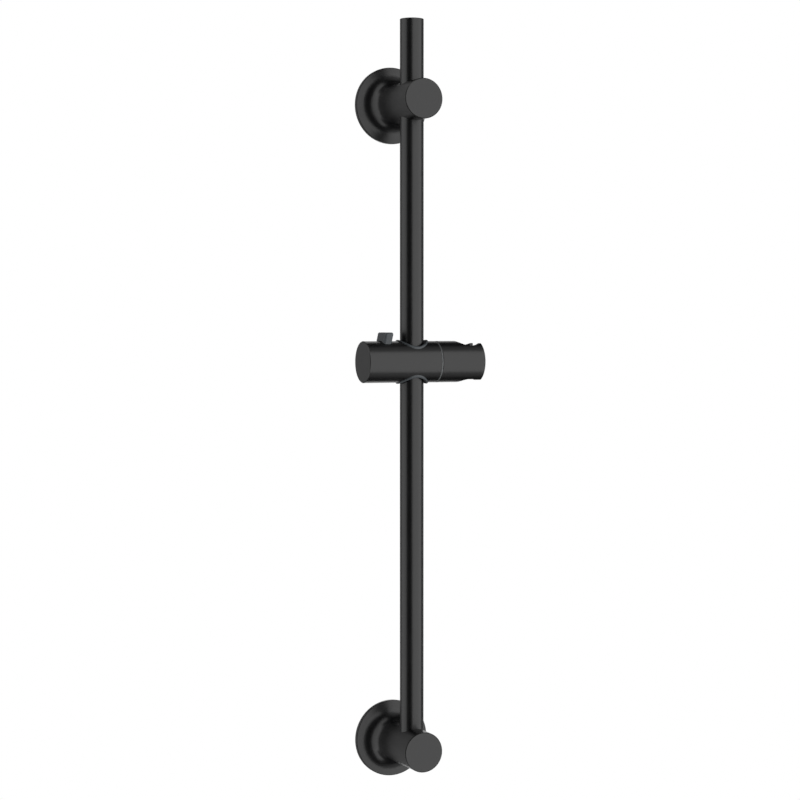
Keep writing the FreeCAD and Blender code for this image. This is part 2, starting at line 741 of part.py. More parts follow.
def handset_holder():
    """End of the slider with an upright tapered socket, and a slot to the end face for the hose."""
    body = slider_piece("handset_holder")
    pivot_bore = f"({pivot_radius} + sizes.pivot_fit)"
    recess = "(sizes.pivot_recess_diameter / 2)"
    sketch = new_sketch(body, "XZ_Plane", "profile")
    polygon(sketch, [
        (holder_start, pivot_bore),
        (holder_start, slider_radius),
        (holder_end, slider_radius),
        (holder_end, recess),
        (pivot_seat, recess),
        (pivot_seat, pivot_bore),
    ])
    feature = turned(body, sketch, "H_Axis")
    seam = ring_edges(feature.Shape, "X", value(holder_start), value(slider_radius))
    feature = soften(body, "Chamfer", seam, "sizes.seam_chamfer")
    rim = ring_edges(feature.Shape, "X", value(holder_end), value(slider_radius))
    soften(body, "Chamfer", rim, "sizes.holder_end_chamfer")

    socket = new_sketch(body, "XZ_Plane", "socket", shift="sizes.socket_reach")
    polygon(socket, [
        ("0", f"-{slider_radius}"),
        (f"sizes.socket_diameter / 2 - {socket_flare}", f"-{slider_radius}"),
        (f"sizes.socket_diameter / 2 + {socket_flare}", slider_radius),
        ("0", slider_radius),
    ])
    turned(body, socket, "V_Axis", "PartDesign::Groove")

    slot = new_sketch(body, "XY_Plane", "slot")
    rectangle(slot, "sizes.socket_reach", f"{holder_end} + sizes.slot_width",
              "-sizes.slot_width / 2", "sizes.slot_width / 2")
    feature = pocket(body, slot, both_ways=True)
    end = value(holder_end)
    mouth = straight_edges(feature.Shape, "Z", lambda middle_point: abs(middle_point.x - end) < NEAR)
    soften(body, "Fillet", mouth, "sizes.slot_mouth_round")
    return body


def pivot_screw():
    """Socket-head screw that the holder turns on, its thread in the slider's body."""
    body = slider_piece("pivot_screw")
    head = "(sizes.pivot_head_diameter / 2)"
    sketch = new_sketch(body, "XZ_Plane", "profile")
    polygon(sketch, [
        (pivot_tip, "0"),
        (pivot_tip, pivot_radius),
        (pivot_head_seat, pivot_radius),
        (pivot_head_seat, head),
        (pivot_head_end, head),
        (pivot_head_end, "0"),
    ])
    turned(body, sketch, "H_Axis")
    socket = new_sketch(body, "YZ_Plane", "socket", lift=pivot_head_end)
    hexagon(socket, "0", "0", "sizes.pivot_head_diameter * sizes.screw_socket_share")
    pocket(body, socket, length="sizes.screw_socket_depth")
    return body


def pivot_spring_washer():
    """Dished washer under the screw's head, which loads the friction washer through the holder."""
    body = slider_piece("pivot_spring_washer")
    inner = f"({pivot_radius} + sizes.pivot_fit)"
    outer = "(sizes.spring_washer_diameter / 2)"
    dished = f"({spring_washer_seat} + sizes.spring_washer_dish)"
    sketch = new_sketch(body, "XZ_Plane", "profile")
    polygon(sketch, [
        (spring_washer_seat, outer),
        (dished, inner),
        (f"{dished} + sizes.spring_washer_thickness", inner),
        (f"{spring_washer_seat} + sizes.spring_washer_thickness", outer),
    ])
    turned(body, sketch, "H_Axis")
    return body


def main():
    pieces = [rail_tube(), rail_top_plug()]
    for name, height in BRACKETS:
        pieces.append(bracket(f"{name}_bracket", height, blind=name == "lower"))
        pieces.append(wall_plate(f"{name}_wall_plate", height))
    pieces += [bracket_set_screws(), rail_clamp_screws()]
    pieces += [slider_body(), slider_end_cap(), rail_bush()]
    pieces.append(glide_ring("glide_ring_upper", ring_start))
    pieces.append(glide_ring("glide_ring_lower", f"(-{ring_start} - sizes.glide_ring_length)"))
    pieces += [brake_plunger(), brake_pad(), brake_spring(), lock_paddle(), stem_pin()]
    pieces += [friction_washer(), handset_holder(), pivot_screw(), pivot_spring_washer()]
    doc.recompute()

    for item in doc.Objects:
        if "Invalid" in item.State or "Error" in item.State:
            raise RuntimeError(f"{item.Name} failed: {item.State}")
    for piece in pieces:
        if piece.Shape.isNull() or not piece.Shape.isValid() or not piece.Shape.Solids:
            raise RuntimeError(f"{piece.Label} has no valid solid")
    for piece in pieces:
        piece.Shape.exportStep(os.path.join("parts", f"{piece.Label}.step"))


main()
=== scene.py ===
"""Looks of a shower slide rail: satin black rail, brackets and slider, fasteners, and a white studio."""

import json
import math
from collections import namedtuple

import bpy
import numpy as np
from bpy.props import FloatProperty, FloatVectorProperty, IntProperty, PointerProperty
from mathutils import Matrix, Vector


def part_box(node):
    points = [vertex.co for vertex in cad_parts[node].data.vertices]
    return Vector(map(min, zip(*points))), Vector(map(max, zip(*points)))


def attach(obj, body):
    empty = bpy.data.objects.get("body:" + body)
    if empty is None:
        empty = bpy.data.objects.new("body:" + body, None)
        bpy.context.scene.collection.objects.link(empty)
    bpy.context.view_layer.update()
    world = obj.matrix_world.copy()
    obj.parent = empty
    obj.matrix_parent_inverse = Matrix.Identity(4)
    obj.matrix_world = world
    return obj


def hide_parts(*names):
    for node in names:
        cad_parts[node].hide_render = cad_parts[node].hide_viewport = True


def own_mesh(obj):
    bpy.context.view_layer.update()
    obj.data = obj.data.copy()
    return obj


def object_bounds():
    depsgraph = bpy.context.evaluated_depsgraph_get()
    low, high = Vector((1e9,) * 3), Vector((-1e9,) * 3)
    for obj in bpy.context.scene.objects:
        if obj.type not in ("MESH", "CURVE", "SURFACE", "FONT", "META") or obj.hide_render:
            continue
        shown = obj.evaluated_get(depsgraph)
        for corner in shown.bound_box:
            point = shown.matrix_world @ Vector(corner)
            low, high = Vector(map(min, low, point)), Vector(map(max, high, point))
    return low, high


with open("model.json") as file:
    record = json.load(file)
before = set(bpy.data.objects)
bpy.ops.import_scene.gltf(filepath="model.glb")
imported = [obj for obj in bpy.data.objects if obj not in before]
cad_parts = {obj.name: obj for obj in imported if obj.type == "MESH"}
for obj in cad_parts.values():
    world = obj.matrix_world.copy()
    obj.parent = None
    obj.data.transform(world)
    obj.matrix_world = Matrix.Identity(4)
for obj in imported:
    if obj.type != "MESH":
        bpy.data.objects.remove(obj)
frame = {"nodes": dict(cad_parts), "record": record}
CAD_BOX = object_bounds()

bl_info = {
    "name": "Shower slide rail",
    "version": (1, 0, 0),
    "blender": (4, 5, 0),
    "location": "3D View > Sidebar > Slide rail",
    "description": "Finishes, fasteners and studio for a shower slide rail",
    "category": "Object",
}

MM = 0.001
FULL_TURN = 2 * math.pi

# The two brackets, with their heights above the frame's origin
WALL_FACES = [mount for mount in frame["record"]["mounts"] if mount["kind"] == "flat_face"]
BRACKETS = tuple(zip(("lower", "upper"), [face["pos_m"][2] for face in WALL_FACES]))

# A screw: steps to each pitch, depth of the thread in pitches, the angle from which an edge is sharp,
# and the rise of a head's underside, which keeps the heights of an outline growing
STEPS_PER_PITCH = 12
THREAD_DEPTH = 0.6
SCREW_EDGE = math.radians(40)
SEAT_RISE = 1e-6

# Ways that a screw can lie: its own X, Y and Z axes in the frame
ALONG_X = [(0, 1, 0), (0, 0, 1), (1, 0, 0)]
ALONG_Y = [(1, 0, 0), (0, 0, -1), (0, 1, 0)]

# The brake spring: steps to each coil and round its wire, how flat its end coils lie (1 is quite flat),
# and the angle from which an edge is sharp
STEPS_PER_COIL = 48
STEPS_ROUND_WIRE = 14
END_FLATNESS = 0.8
WIRE_EDGE = math.radians(60)

# The floor: its rings, the steps round each, and the innermost ring's radius as a share of the floor's
FLOOR_RINGS = 12
FLOOR_STEPS = 96
FLOOR_MIDDLE = 0.02

# Spread of the light over the floor, and width of the camera's sensor in mm
CEILING_SPREAD = math.radians(60)
SENSOR_WIDTH = 36


def linear(code):
    """Linear red, green and blue of an sRGB hex colour."""
    parts = np.array([int(code[i:i + 2], 16) for i in (1, 3, 5)]) / 255
    return tuple(np.where(parts <= 0.04045, parts / 12.92, ((parts + 0.055) / 1.055) ** 2.4))


def colour(name, description, code):
    """A colour to choose, from its hex value."""
    return FloatVectorProperty(name=name, description=description, default=linear(code), subtype="COLOR",
                               size=3, min=0, max=1)


def length(name, description, default):
    """A length to choose, in metres."""
    return FloatProperty(name=name, description=description, default=default, subtype="DISTANCE",
                         unit="LENGTH")


def angle(name, description, degrees):
    """An angle to choose, from its degrees."""
    return FloatProperty(name=name, description=description, default=math.radians(degrees), subtype="ANGLE",
                         unit="ROTATION")


def number(name, description, default, **limits):
    """A plain number to choose, with its limits."""
    return FloatProperty(name=name, description=description, default=default, **limits)


class SlideRailFinishes(bpy.types.PropertyGroup):
    """Colours of the finishes, and the sizes of their patterns."""

    coat: colour("Coat", "Satin black coat on the rail, the brackets and the slider", "#050506")
    coat_thin: colour("Coat, thinner", "The same coat where it is a little thinner", "#080809")
    nylon: colour("Grey nylon", "Thumb paddle and bush", "#2f3336")
    nylon_fine: colour("Grey nylon, fines", "Paler filler that shows in the grey nylon", "#393e42")
    acetal: colour("Black acetal", "Glide rings in the bush", "#101011")
    acetal_fine: colour("Black acetal, flow", "Paler flow marks in the black mouldings", "#19191a")
    washer: colour("Washer", "Friction washer in the holder's seam", "#2c2f31")
    plunger: colour("Plunger", "Grey acetal of the brake plunger", "#6d6f70")
    rubber: colour("Rubber", "Moulded brake pad", "#161616")
    steel: colour("Stainless steel", "Wall plates and fasteners", "#b9bbbd")
    cloud: length("Coat clouds", "Width of a patch where the coat is a little glossier", 22 * MM)
    handling: length("Handling marks", "Width of a patch of steel dulled by handling", 2.4 * MM)
    # The ripple of a sprayed coat, the grain of an etched mould and the marks of a lathe are finer than
    # this on the real thing, and are drawn this coarse so that they show
    peel: length("Coat ripple", "Width of one ripple of the sprayed coat", 2.4 * MM)
    grain: length("Moulding grain", "Width of one grain of an etched mould", 0.7 * MM)
    turning: length("Turning marks", "Distance between the marks of the lathe tool", 0.8 * MM)


class SlideRailFasteners(bpy.types.PropertyGroup):
    """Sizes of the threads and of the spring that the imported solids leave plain."""

    set_pitch: length("Set screw pitch", "Thread pitch of the screws in the bracket flares", 0.8 * MM)
    clamp_pitch: length("Clamp screw pitch", "Thread pitch of the screws on the rail", 1.0 * MM)
    pivot_pitch: length("Pivot screw pitch", "Thread pitch of the holder's screw", 1.0 * MM)
    pivot_radius: length("Pivot shank", "Radius of the shank of the holder's screw", 3.0 * MM)
    pivot_thread: length("Pivot thread", "Length of the thread at the screw's end", 6.5 * MM)
    pivot_head: length("Pivot head", "Height of the head of the holder's screw", 4.0 * MM)
    socket_depth: length("Socket depth", "Depth of every hexagon socket", 3.0 * MM)
    socket_share: number("Socket width", "Width across flats, as a share of the diameter", 0.5,
                         min=0.2, max=0.8, subtype="FACTOR")
    point: length("Screw point", "Bevel at the end of a screw", 0.8 * MM)
    wire: length("Spring wire", "Diameter of the brake spring's wire", 1.0 * MM)
    turns: number("Spring turns", "Turns of the brake spring, dead ones included", 6.5, min=3, max=12)
    around: IntProperty(name="Steps round", description="Faces round a screw", default=60, min=24, max=180)


class SlideRailStage(bpy.types.PropertyGroup):
    """Where the camera stands, and the studio round the part."""

    camera_turn: angle("Camera turn", "How far the camera stands to the left of straight ahead", 22.567)
    camera_pitch: angle("Camera pitch", "How far the camera looks down", 1.638)
    camera_distance: length("Camera distance", "From the rail's axis, along the view", 2032.1 * MM)
    camera_aside: length("Camera aside", "How far the rail's axis lies right of the view's middle",
                         10.89 * MM)
    camera_height: length("Camera height", "Above the frame's origin", 396.5 * MM)
    lens: number("Lens", f"Focal length in mm on a {SENSOR_WIDTH} mm wide sensor", 98.63, min=10)
    shift: number("Shift", "Vertical shift of the lens, in picture widths", -0.02)
    floor_drop: length("Floor drop", "How far the floor lies under the lower bracket", 1.15)
    floor_radius: length("Floor radius", "The floor is a disc under the part", 4.0)
    floor_mottle: length("Floor mottle", "Width of one patch of the floor", 1 / 6)
    floor_colour: colour("Floor", "Pale matt floor", "#e9e9e7")
    backdrop: colour("Backdrop", "Seamless white all round", "#ffffff")
    fill: number("Fill", "Brightness of the room that the part mirrors", 0.02, min=0)
    ceiling: number("Ceiling", "Brightness of the light over the floor", 1.0, min=0)


# A soft box: its outline, the way to its middle as seen from the part (degrees to the right of straight
# ahead, and up), how far off it is and its size in metres, and how bright its cloth is
SoftBox = namedtuple("SoftBox", "name outline turn lift distance width height brightness")
SOFT_BOXES = (
    SoftBox("right_disc", "ELLIPSE", 33, 0, 2.4, 6.1, 6.1, 1.42),
    SoftBox("upper_right_box", "RECTANGLE", 54, 60, 2.8, 1.8, 1.4, 0.35),
    SoftBox("lower_right_box", "RECTANGLE", 54, -60, 2.8, 1.8, 1.4, 0.35),
    SoftBox("right_rear_box", "RECTANGLE", 127, 0, 2.6, 1.4, 4.0, 0.3),
    SoftBox("right_back_box", "RECTANGLE", 160, 0, 2.6, 0.9, 6.0, 0.8),
    SoftBox("left_box", "RECTANGLE", -103, 0, 2.6, 2.9, 6.0, 1.05),
    SoftBox("upper_left_box", "RECTANGLE", -90, 65, 2.9, 1.4, 1.9, 1.05),
    SoftBox("lower_left_box", "RECTANGLE", -90, -65, 2.9, 1.4, 1.9, 1.05),
    SoftBox("rear_box", "RECTANGLE", -148, 0, 2.6, 1.5, 6.0, 0.26),
    SoftBox("back_box", "RECTANGLE", -175, 0, 2.6, 1.1, 6.0, 0.17),
)
FILLED_SHARE = {"RECTANGLE": 1.0, "ELLIPSE": math.pi / 4}
WATTS_PER_BRIGHTNESS = 4.0

# Sockets of a mix of two colours, and of a mix of two backgrounds
FIRST_COLOUR, SECOND_COLOUR, MIXED_COLOUR = 6, 7, 2
FIRST_BACKGROUND, SECOND_BACKGROUND = 1, 2

# Span that a noise pattern seldom leaves, and width of one ring of a wave pattern of scale 1
NOISE_LOW, NOISE_HIGH = 0.3, 0.7
WAVE_WIDTH = 0.314

# Flow marks in a moulding, and patches of bloom on rubber, to each grain of the mould
FLOW_PER_GRAIN = 0.3
BLOOM_PER_GRAIN = 0.2


def add_node(tree, kind, settings=None, inputs=None):
    """Add a node, apply its own settings, and fill its inputs: a socket is linked, the rest are values."""
    node = tree.nodes.new(kind)
    for name, setting in (settings or {}).items():
        setattr(node, name, setting)
    for name, given in (inputs or {}).items():
        if isinstance(given, bpy.types.NodeSocket):
            tree.links.new(given, node.inputs[name])
        else:
            node.inputs[name].default_value = given
    return node


def new_material(name):
    """A named material with an empty tree, and its Object coordinates. One of that name is used again."""
    material = bpy.data.materials.get(name) or bpy.data.materials.new(name)
    material.use_nodes = True
    tree = material.node_tree
    tree.nodes.clear()
    place = add_node(tree, "ShaderNodeTexCoord").outputs["Object"]
    return material, tree, place


def close_material(tree, surface):
    """Lead a surface to the material's output."""
    add_node(tree, "ShaderNodeOutputMaterial", inputs={"Surface": surface.outputs["BSDF"]})


def rgba(rgb):
    """The colour with full cover."""
    return (*rgb, 1.0)


def satin_black_coat(finishes):
    """Black coat sprayed on metal and baked.

    The eye gets a deep black with broad soft mirror images, faintly rippled by the spray and a little
    glossier in some patches than in others.
    """
    material, tree, place = new_material("satin_black_baked_coat")
    cloud = add_node(tree, "ShaderNodeTexNoise", inputs={
        "Vector": place, "Scale": 1 / finishes.cloud, "Detail": 3.0})
    ripple = add_node(tree, "ShaderNodeTexNoise", inputs={
        "Vector": place, "Scale": 1 / finishes.peel, "Detail": 1.0})
    shade = add_node(tree, "ShaderNodeMix", {"data_type": "RGBA"}, {
        "Factor": cloud.outputs["Fac"], FIRST_COLOUR: rgba(finishes.coat),
        SECOND_COLOUR: rgba(finishes.coat_thin)})
    gloss = add_node(tree, "ShaderNodeMapRange", inputs={
        "Value": cloud.outputs["Fac"], "From Min": NOISE_LOW, "From Max": NOISE_HIGH,
        "To Min": 0.29, "To Max": 0.33})
    bump = add_node(tree, "ShaderNodeBump", inputs={
        "Height": ripple.outputs["Fac"], "Strength": 0.04, "Distance": 0.02 * MM})
    surface = add_node(tree, "ShaderNodeBsdfPrincipled", inputs={
        "Base Color": shade.outputs[MIXED_COLOUR], "Roughness": gloss.outputs["Result"],
        "Normal": bump.outputs["Normal"], "IOR": 1.5})
    close_material(tree, surface)
    return material


def moulded_plastic(name, finishes, base, fines, rough, relief):
    """Plastic from an etched mould: fine even grain, soft wide highlights and faint flow marks."""
    material, tree, place = new_material(name)
    grain = add_node(tree, "ShaderNodeTexNoise", inputs={
        "Vector": place, "Scale": 1 / finishes.grain, "Detail": 2.0})
    flow = add_node(tree, "ShaderNodeTexNoise", inputs={
        "Vector": place, "Scale": FLOW_PER_GRAIN / finishes.grain, "Detail": 2.0})
    shade = add_node(tree, "ShaderNodeMix", {"data_type": "RGBA"}, {
        "Factor": flow.outputs["Fac"], FIRST_COLOUR: rgba(base), SECOND_COLOUR: rgba(fines)})
    gloss = add_node(tree, "ShaderNodeMapRange", inputs={
        "Value": grain.outputs["Fac"], "From Min": NOISE_LOW, "From Max": NOISE_HIGH,
        "To Min": rough - 0.04, "To Max": rough + 0.04})
    bump = add_node(tree, "ShaderNodeBump", inputs={
        "Height": grain.outputs["Fac"], "Strength": relief, "Distance": 0.03 * MM})
    surface = add_node(tree, "ShaderNodeBsdfPrincipled", inputs={
        "Base Color": shade.outputs[MIXED_COLOUR], "Roughness": gloss.outputs["Result"],
        "Normal": bump.outputs["Normal"], "IOR": 1.48})
    close_material(tree, surface)
    return material


def grey_nylon(finishes):
    """Filled nylon, moulded: a dull blue grey that stays paler than the black coat in any light."""
    return moulded_plastic("moulded_grey_nylon", finishes, finishes.nylon, finishes.nylon_fine,
                           rough=0.5, relief=0.2)


def moulded_rubber(finishes):
    """Nitrile rubber from a blasted mould: dull black with a dusty bloom."""
    material, tree, place = new_material("moulded_nitrile_rubber")
    bloom = add_node(tree, "ShaderNodeTexNoise", inputs={
        "Vector": place, "Scale": BLOOM_PER_GRAIN / finishes.grain, "Detail": 4.0})
    shade = add_node(tree, "ShaderNodeMix", {"data_type": "RGBA"}, {
        "Factor": bloom.outputs["Fac"], FIRST_COLOUR: rgba(finishes.rubber),
        SECOND_COLOUR: rgba(finishes.acetal_fine)})
    bump = add_node(tree, "ShaderNodeBump", inputs={
        "Height": bloom.outputs["Fac"], "Strength": 0.3, "Distance": 0.05 * MM})
    surface = add_node(tree, "ShaderNodeBsdfPrincipled", inputs={
        "Base Color": shade.outputs[MIXED_COLOUR], "Roughness": 0.75, "Normal": bump.outputs["Normal"],
        "IOR": 1.52})
    close_material(tree, surface)
    return material


def turned_stainless_steel(finishes, side, height):
    """Stainless plate faced on a lathe: bright grey metal with fine rings round its middle."""
    material, tree, place = new_material(f"turned_stainless_steel_{side}")
    centred = add_node(tree, "ShaderNodeMapping", inputs={"Vector": place, "Location": (0, 0, -height)})
    rings = add_node(tree, "ShaderNodeTexWave", {
        "wave_type": "RINGS", "rings_direction": "Y", "wave_profile": "SAW"}, {
        "Vector": centred.outputs["Vector"], "Scale": WAVE_WIDTH / finishes.turning, "Distortion": 0.4})
    gloss = add_node(tree, "ShaderNodeMapRange", inputs={
        "Value": rings.outputs["Fac"], "To Min": 0.3, "To Max": 0.42})
    bump = add_node(tree, "ShaderNodeBump", inputs={
        "Height": rings.outputs["Fac"], "Strength": 0.2, "Distance": 0.01 * MM})
    surface = add_node(tree, "ShaderNodeBsdfPrincipled", inputs={
        "Base Color": rgba(finishes.steel), "Metallic": 1.0, "Roughness": gloss.outputs["Result"],
        "Normal": bump.outputs["Normal"]})
    close_material(tree, surface)
    return material


def drawn_stainless_steel(finishes):
    """Cold-drawn stainless wire and screws: bright metal, dulled in small patches by handling."""
    material, tree, place = new_material("drawn_stainless_steel")
    dulled = add_node(tree, "ShaderNodeTexNoise", inputs={
        "Vector": place, "Scale": 1 / finishes.handling, "Detail": 3.0})
    gloss = add_node(tree, "ShaderNodeMapRange", inputs={
        "Value": dulled.outputs["Fac"], "From Min": NOISE_LOW, "From Max": NOISE_HIGH,
        "To Min": 0.22, "To Max": 0.36})
    surface = add_node(tree, "ShaderNodeBsdfPrincipled", inputs={
        "Base Color": rgba(finishes.steel), "Metallic": 1.0, "Roughness": gloss.outputs["Result"]})
    close_material(tree, surface)
    return material


def pale_matt_screed(stage):
    """Levelled screed, sealed matt: pale grey, mottled in its sheen, with an outer half that pales away."""
    material, tree, place = new_material("pale_matt_screed")
    mottle = add_node(tree, "ShaderNodeTexNoise", inputs={
        "Vector": place, "Scale": 1 / stage.floor_mottle, "Detail": 4.0})
    rough = add_node(tree, "ShaderNodeMapRange", inputs={
        "Value": mottle.outputs["Fac"], "To Min": 0.7, "To Max": 0.85})
    away = add_node(tree, "ShaderNodeVectorMath", {"operation": "LENGTH"}, {"Vector": place})
    paler = add_node(tree, "ShaderNodeMapRange", {"interpolation_type": "SMOOTHSTEP"}, {
        "Value": away.outputs["Value"], "From Min": stage.floor_radius / 2,
        "From Max": stage.floor_radius})
    shade = add_node(tree, "ShaderNodeMix", {"data_type": "RGBA"}, {
        "Factor": paler.outputs["Result"], FIRST_COLOUR: rgba(stage.floor_colour),
        SECOND_COLOUR: rgba(stage.backdrop)})
    surface = add_node(tree, "ShaderNodeBsdfPrincipled", inputs={
        "Base Color": shade.outputs[MIXED_COLOUR], "Roughness": rough.outputs["Result"]})
    close_material(tree, surface)
    return material


def finish_nodes(names, material):
    """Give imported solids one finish."""
    for name in names:
        slots = frame["nodes"][name].data.materials
        slots.clear()
        slots.append(material)


def grid_faces(rows, columns):
    """Corner numbers of the quads of a grid that closes on itself round its columns."""
    row, column = np.meshgrid(np.arange(rows - 1), np.arange(columns), indexing="ij")
    after = (column + 1) % columns
    return np.stack([row * columns + column, row * columns + after,
                     (row + 1) * columns + after, (row + 1) * columns + column], axis=-1).reshape(-1, 4)


def closed_tube(name, points, material, sharp):
    """Mesh of a grid of points, rows by columns, closed round its columns.

    Each end row is closed by a fan of triangles to the mean of its points.
    """
    rows, columns = points.shape[:2]
    ends = np.stack([points[0].mean(axis=0), points[-1].mean(axis=0)])
    vertices = np.concatenate([points.reshape(-1, 3), ends])
    column = np.arange(columns)
    after = (column + 1) % columns
    last = (rows - 1) * columns
    first_fan = np.stack([after, column, np.full(columns, rows * columns)], axis=-1)
    last_fan = np.stack([last + column, last + after, np.full(columns, rows * columns + 1)], axis=-1)
    faces = grid_faces(rows, columns).tolist() + first_fan.tolist() + last_fan.tolist()
    mesh = bpy.data.meshes.new(name)
    mesh.from_pydata(vertices.tolist(), [], faces)
    mesh.polygons.foreach_set("use_smooth", np.ones(len(mesh.polygons), bool))
    mesh.set_sharp_from_angle(angle=sharp)
    mesh.materials.append(material)
    piece = bpy.data.objects.new(name, mesh)
    bpy.context.scene.collection.objects.link(piece)
    return piece


def hexagon_radius(turn, flats):
    """Distance from a hexagon's middle to its side: half its width over the cosine of the turn off a flat.

    The turn off a flat is the turn's remainder by a sixth of a circle, taken from the middle of the side.
    """
    sixth = math.pi / 3
    return flats / 2 / np.cos((turn + sixth / 2) % sixth - sixth / 2)


def screw_points(fasteners, outline, pitch, thread_end, flats):
    """Points of a screw along its own Z axis, point first and hexagon socket last.

    Radius is the outline's, less the thread's depth times a triangle wave. The wave's phase is the height
    over the pitch minus the turn over a full turn, so that its crests run up a helix. It fades out at both
    ends of the thread.
    """
    turn = np.linspace(0, FULL_TURN, fasteners.around, endpoint=False)
    corner_heights = np.array([height for _, height in outline])
    corner_radii = np.array([radius for radius, _ in outline])
    above = corner_heights > thread_end
    steps = max(2, int(thread_end / pitch * STEPS_PER_PITCH))
    threaded = np.linspace(corner_heights[0], thread_end, steps)
    heights = np.concatenate([threaded, corner_heights[above]])
    radii = np.concatenate([np.interp(threaded, corner_heights, corner_radii), corner_radii[above]])
    phase = heights[:, None] / pitch - turn[None, :] / FULL_TURN
    wave = np.abs(2 * (phase - np.floor(phase)) - 1)
    rising = np.clip((heights - corner_heights[0]) / pitch, 0, 1)
    fading = np.clip((thread_end - heights) / pitch, 0, 1)
    radius = radii[:, None] - THREAD_DEPTH * pitch * wave * (fading * rising)[:, None]
    top = corner_heights[-1]
    socket = hexagon_radius(turn, flats)
    floor = top - fasteners.socket_depth
    radius = np.concatenate([radius, socket[None, :], socket[None, :]])
    heights = np.concatenate([heights, [top, floor]])
    across = np.stack([radius * np.cos(turn), radius * np.sin(turn)], axis=-1)
    up = np.broadcast_to(heights[:, None, None], (*radius.shape, 1))
    return np.concatenate([across, up], axis=-1)


def placed(points, origin, axes):
    """Points carried from their own X, Y and Z axes onto the given ones, then to the origin."""
    return points @ np.array(axes, float) + np.array(origin, float)


def grub_points(fasteners, radius, tall, pitch):
    """Points of a headless screw, threaded to one pitch below its socket end."""
    outline = [(radius - fasteners.point, 0), (radius, fasteners.point), (radius, tall)]
    return screw_points(fasteners, outline, pitch, tall - pitch, 2 * radius * fasteners.socket_share)


class SLIDERAIL_OT_rail(bpy.types.Operator):
    """Coat the rail and its top plug"""

    bl_idname = "slide_rail.rail"
    bl_label = "Rail"

    def execute(self, context):
        coat = satin_black_coat(context.scene.slide_rail_finishes)
        finish_nodes(["rail_tube", "rail_top_plug"], coat)
        return {"FINISHED"}


class SLIDERAIL_OT_brackets(bpy.types.Operator):
    """Coat the bracket castings, face the wall plates and cut the threads of the screws"""

    bl_idname = "slide_rail.brackets"
    bl_label = "Wall brackets"

    def execute(self, context):
        finishes = context.scene.slide_rail_finishes
        finish_nodes(["lower_bracket", "upper_bracket"], satin_black_coat(finishes))
        for side, height in BRACKETS:
            finish_nodes([f"{side}_wall_plate"], turned_stainless_steel(finishes, side, height))
        self.screws(context)
        return {"FINISHED"}

    def screws(self, context):
        """A set screw through each flare from the right, and a clamp screw in each post behind the rail."""
        fasteners = context.scene.slide_rail_fasteners
        low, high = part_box("bracket_set_screws")
        points = grub_points(fasteners, (high.y - low.y) / 2, high.x - low.x, fasteners.set_pitch)
        points = placed(points, (low.x, (low.y + high.y) / 2, 0), ALONG_X)
        self.pair(context, points, "set_screw", "bracket_set_screws")
        low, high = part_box("rail_clamp_screws")
        points = grub_points(fasteners, (high.x - low.x) / 2, high.y - low.y, fasteners.clamp_pitch)
        points = placed(points, (0, low.y, 0), ALONG_Y)
        self.pair(context, points, "clamp_screw", "rail_clamp_screws")

    def pair(self, context, points, name, node):
        """The same screw once at each bracket's height."""
        steel = drawn_stainless_steel(context.scene.slide_rail_finishes)
        for side, height in BRACKETS:
            screw = closed_tube(f"{side}_{name}", points + np.array([0, 0, height]), steel, SCREW_EDGE)
            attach(screw, "rail")
            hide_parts(node)


class SLIDERAIL_OT_slider(bpy.types.Operator):
    """Coat the slider and its end cap, and give the bush and glide rings their moulded finish"""

    bl_idname = "slide_rail.slider"
    bl_label = "Slider"

    def execute(self, context):
        finishes = context.scene.slide_rail_finishes
        finish_nodes(["slider_body", "slider_end_cap"], satin_black_coat(finishes))
        finish_nodes(["rail_bush"], grey_nylon(finishes))
        acetal = moulded_plastic("moulded_black_acetal", finishes, finishes.acetal, finishes.acetal_fine,
                                 rough=0.36, relief=0.05)
        finish_nodes(["glide_ring_upper", "glide_ring_lower"], acetal)
        return {"FINISHED"}


class SLIDERAIL_OT_brake(bpy.types.Operator):
    """Finish the thumb paddle and the brake behind it, and wind its spring"""

    bl_idname = "slide_rail.brake"
    bl_label = "Brake and paddle"

    def execute(self, context):
        finishes = context.scene.slide_rail_finishes
        finish_nodes(["lock_paddle"], grey_nylon(finishes))
        plunger = moulded_plastic("moulded_grey_acetal", finishes, finishes.plunger, finishes.washer,
                                  rough=0.4, relief=0.1)
        finish_nodes(["brake_plunger"], plunger)
        finish_nodes(["brake_pad"], moulded_rubber(finishes))
        steel = drawn_stainless_steel(finishes)
        finish_nodes(["stem_pin"], steel)
        self.spring(context, steel)
        return {"FINISHED"}

    def spring(self, context, steel):
        """Wire circle carried along a helix whose rise slows at both ends, so that the end coils lie flat.

        The rise is the run minus a sine of one full wave, which leaves dead coils against both seats.
        """
        fasteners = context.scene.slide_rail_fasteners
        low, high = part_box("brake_spring")
        wire = fasteners.wire / 2
        coil = (high.y - low.y) / 2 - wire
        run = np.linspace(0, 1, int(fasteners.turns * STEPS_PER_COIL))
        turn = FULL_TURN * fasteners.turns * run
        eased = run - END_FLATNESS * np.sin(FULL_TURN * run) / FULL_TURN
        rise = low.x + wire + (high.x - low.x - 2 * wire) * eased
        middle = np.array([0, (low.y + high.y) / 2, (low.z + high.z) / 2])
        outward = np.stack([np.zeros_like(turn), np.cos(turn), np.sin(turn)], axis=-1)
        path = middle + coil * outward + np.stack([rise, 0 * rise, 0 * rise], axis=-1)
        along = np.gradient(path, axis=0)
        along /= np.linalg.norm(along, axis=1, keepdims=True)
        side = np.cross(along, outward)
        round_wire = np.linspace(0, FULL_TURN, STEPS_ROUND_WIRE, endpoint=False)[None, :, None]
        circle = np.cos(round_wire) * outward[:, None, :] + np.sin(round_wire) * side[:, None, :]
        points = path[:, None, :] + wire * circle
        spring = closed_tube("brake_coil", points, steel, WIRE_EDGE)
        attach(spring, "slider")
        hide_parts("brake_spring")
        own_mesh(spring)


